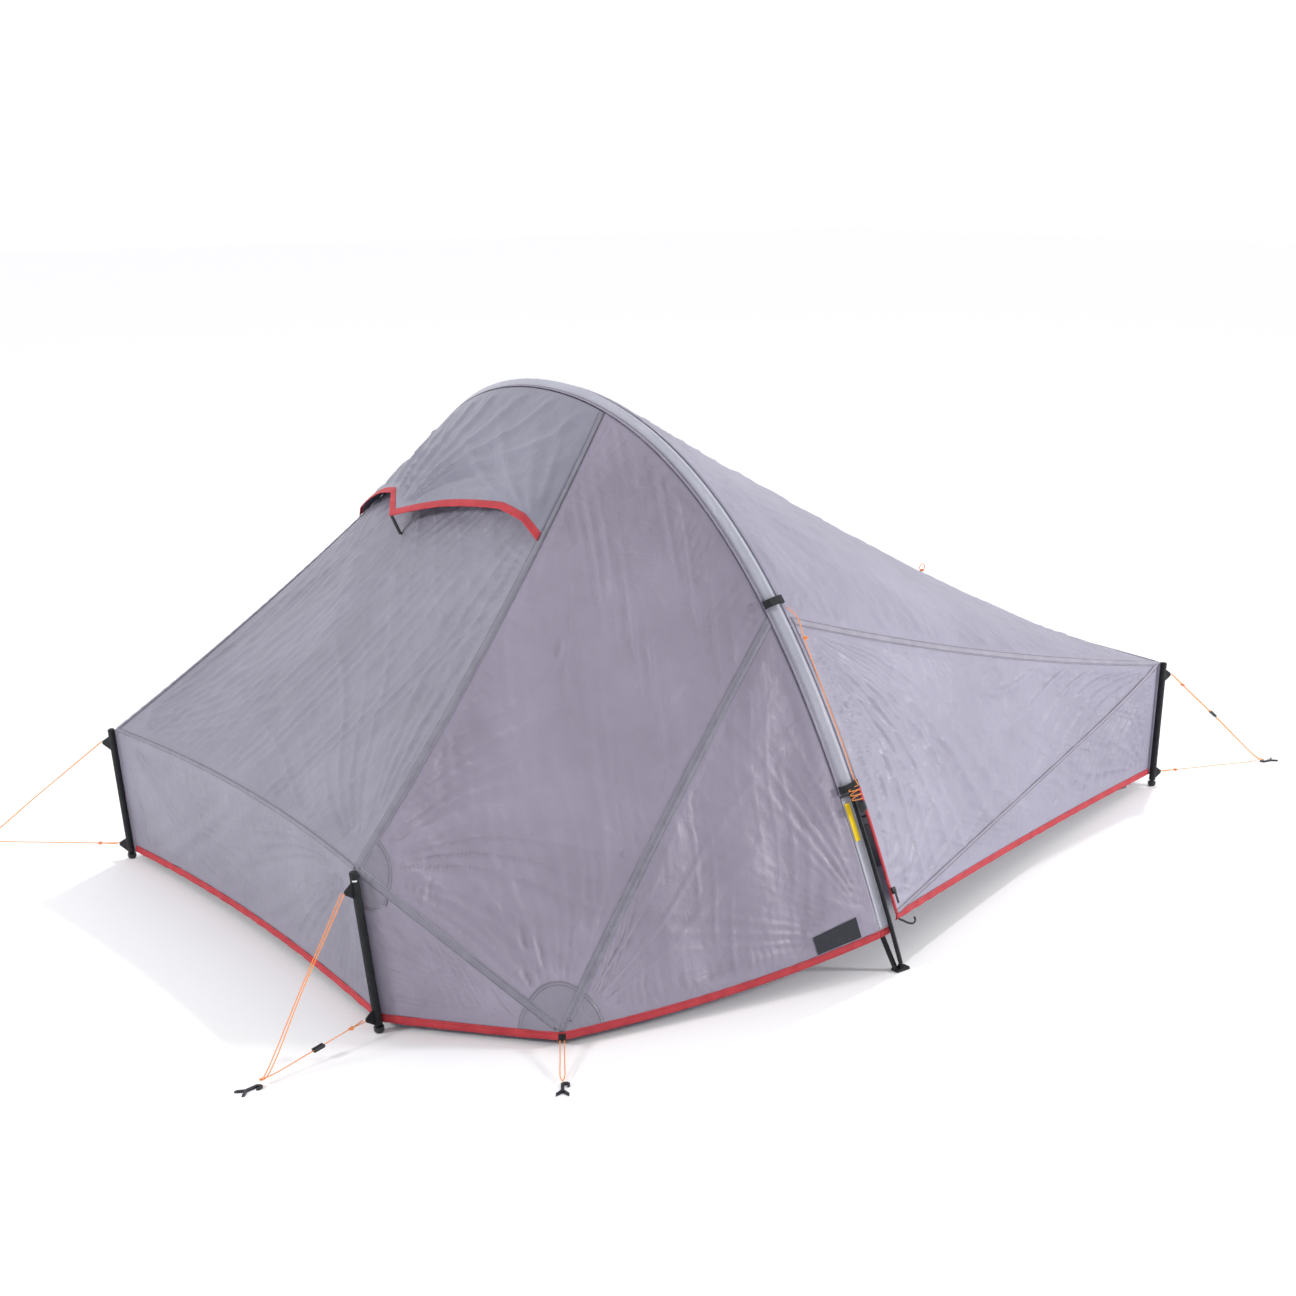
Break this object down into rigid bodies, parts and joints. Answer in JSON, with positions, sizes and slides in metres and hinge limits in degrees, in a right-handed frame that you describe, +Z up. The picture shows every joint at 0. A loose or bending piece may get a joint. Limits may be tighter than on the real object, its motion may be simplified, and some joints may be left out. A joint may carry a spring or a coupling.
{
  "type": "trekking tent",
  "caption": "Pitched single-hoop trekking tent with vent hood, zip door, short corner posts, inner tent, guylines and pegs.",
  "frame": {"origin": "on the ground, on the underside of the inner tent floor, midway between the two feet of the hoop", "axes": "+X along the tent towards its foot end, -Y towards the door side, +Z up"},
  "size_m": [3.0452, 1.9612, 1.1008],
  "materials": {
    "roof_cloth": "thin coated ripstop",
    "side_cloth": "thin coated ripstop",
    "light_cloth": "thin coated ripstop",
    "sleeve_cloth": "close woven",
    "red_tape": "folded binding",
    "black_webbing": "woven webbing",
    "vent_netting": "fine netting",
    "yellow_webbing": "woven webbing",
    "dark_plastic": "moulded",
    "peg_metal": "dark coated",
    "pole_metal": "black anodised",
    "post_rod": "composite rod",
    "orange_cord": "braided cord",
    "inner_cloth": "light breathable weave",
    "tub_cloth": "coated floor cloth",
    "elastic": "covered elastic"
  },
  "bodies": {
    "tent": {"fly_roof_left": "roof_cloth", "vent_mesh": "vent_netting", "fly_roof_right": "light_cloth", "fly_side_main": "side_cloth", "fly_side_hoop": "side_cloth", "fly_side_corner": "side_cloth", "fly_side_right": "light_cloth", "fly_side_far_left": "roof_cloth", "fly_side_far_right": "light_cloth", "fly_end_left": "roof_cloth", "fly_end_right": "light_cloth", "hem_tape": "red_tape", "vent_hood": "roof_cloth", "vent_hood_trim": "red_tape", "pole_sleeve": "sleeve_cloth", "sleeve_tail_near": "sleeve_cloth", "sleeve_collar_near": "black_webbing", "sleeve_tail_far": "sleeve_cloth", "sleeve_collar_far": "black_webbing", "pull_tab_near": "yellow_webbing", "guy_strap_near": "black_webbing", "pole_section_1": "pole_metal", "pole_section_2": "pole_metal", "pole_section_3": "pole_metal", "pole_section_4": "pole_metal", "shock_cord": "elastic", "pole_foot_near": "dark_plastic", "pole_foot_far": "dark_plastic", "post_sleeve_left_near": "black_webbing", "post_sleeve_left_far": "black_webbing", "post_sleeve_right_near": "black_webbing", "post_sleeve_right_far": "black_webbing", "post_rod_left_near": "post_rod", "post_rod_left_far": "post_rod", "post_rod_right_near": "post_rod", "post_rod_right_far": "post_rod", "peg_left_near": "peg_metal", "peg_left_far": "peg_metal", "peg_right_near": "peg_metal", "peg_right_far": "peg_metal", "peg_side": "peg_metal", "guyline_left_near": "orange_cord", "guyline_left_far": "orange_cord", "guyline_right_near": "orange_cord", "guyline_right_far": "orange_cord", "guyline_side": "orange_cord", "guyline_hoop": "orange_cord", "roof_loop": "orange_cord", "label_patch": "dark_plastic", "tub_floor": "tub_cloth", "inner_canopy": "inner_cloth"},
    "fly_door": {"fly_door": "light_cloth", "hem_door": "red_tape", "door_edge_tape": "red_tape"},
    "door_slider": {"door_slider": "dark_plastic"},
    "vent_stay": {"vent_stay": "black_webbing"},
    "tensioner_left_near": {"tensioner_left_near": "dark_plastic"},
    "tensioner_right_near": {"tensioner_right_near": "dark_plastic"},
    "cord_lock": {"cord_lock": "dark_plastic"},
    "inner_door": {"inner_door": "inner_cloth"}
  },
  "joints": [
    {"name": "fly_door_hinge", "type": "hinge", "parent": "tent", "child": "fly_door", "pos_m": [1.31815, -0.5567, 0.045], "axis": [-0.9063, -0.0959, 0.4116], "range_deg": [0, 115]},
    {"name": "door_slider_slide", "type": "slide", "parent": "fly_door", "child": "door_slider", "axis": [-0.1387, 0.3068, 0.9416], "range_m": [0, 0.2]},
    {"name": "vent_stay_hinge", "type": "hinge", "parent": "tent", "child": "vent_stay", "pos_m": [-0.45552, 0.15773, 0.76397], "axis": [0.0196, 0.9904, -0.1366], "range_deg": [0, 42]},
    {"name": "tensioner_left_slide", "type": "slide", "parent": "tent", "child": "tensioner_left_near", "axis": [-0.9738, -0.1972, -0.1134], "range_m": [-0.06, 0.01]},
    {"name": "tensioner_right_slide", "type": "slide", "parent": "tent", "child": "tensioner_right_near", "axis": [0.7474, -0.162, -0.6443], "range_m": [-0.08, 0.04]},
    {"name": "cord_lock_slide", "type": "slide", "parent": "tent", "child": "cord_lock", "axis": [0.1372, -0.3367, -0.9316], "range_m": [0, 0.05]},
    {"name": "inner_door_hinge", "type": "hinge", "parent": "tent", "child": "inner_door", "pos_m": [0.04677, -0.53243, 0.13186], "axis": [-0.9999, 0.0029, 0.0142], "range_deg": [0, 70]}
  ]
}
